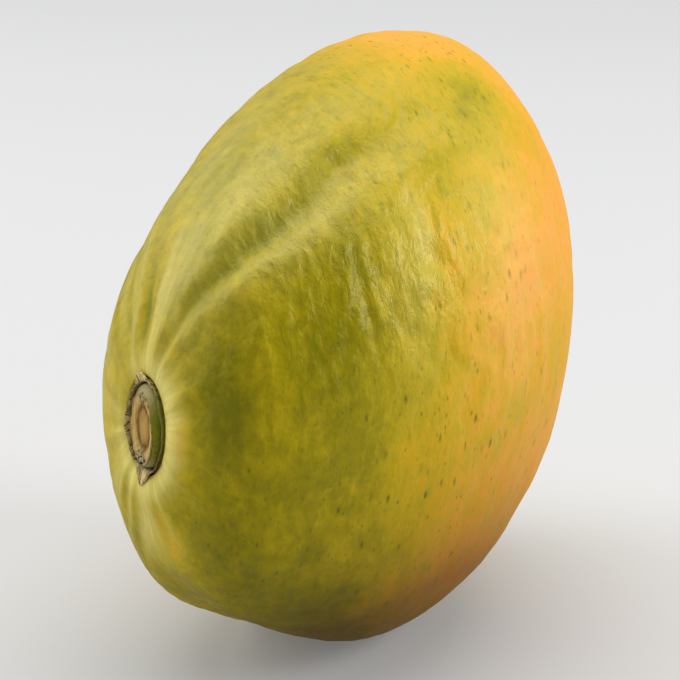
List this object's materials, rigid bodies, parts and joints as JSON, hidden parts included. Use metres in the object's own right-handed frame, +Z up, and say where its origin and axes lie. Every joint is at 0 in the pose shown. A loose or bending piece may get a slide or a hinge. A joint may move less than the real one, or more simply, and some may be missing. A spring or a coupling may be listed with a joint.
{
  "type": "papaya",
  "caption": "Whole ripening papaya lying on its side: five shallow valleys run from a cut stem stub in a dry calyx collar to a round blossom end.",
  "frame": {"origin": "under the middle of the fruit's bounding box, on the surface that it rests on", "axes": "+X from the stem end to the blossom end, +Z up, +Y across the fruit, away from its fuller flank"},
  "size_m": [0.1726, 0.1086, 0.1369],
  "materials": {
    "skin": "satin waxy fruit skin, olive green ripening to yellow and orange, with small dark specks",
    "stem": "green bark with a dry tan fibrous cut face",
    "calyx": "dry brown papery calyx scales"
  },
  "bodies": {
    "root": {"papaya_fruit": "skin", "stem_stub": "stem", "calyx_collar": "calyx"}
  },
  "joints": []
}
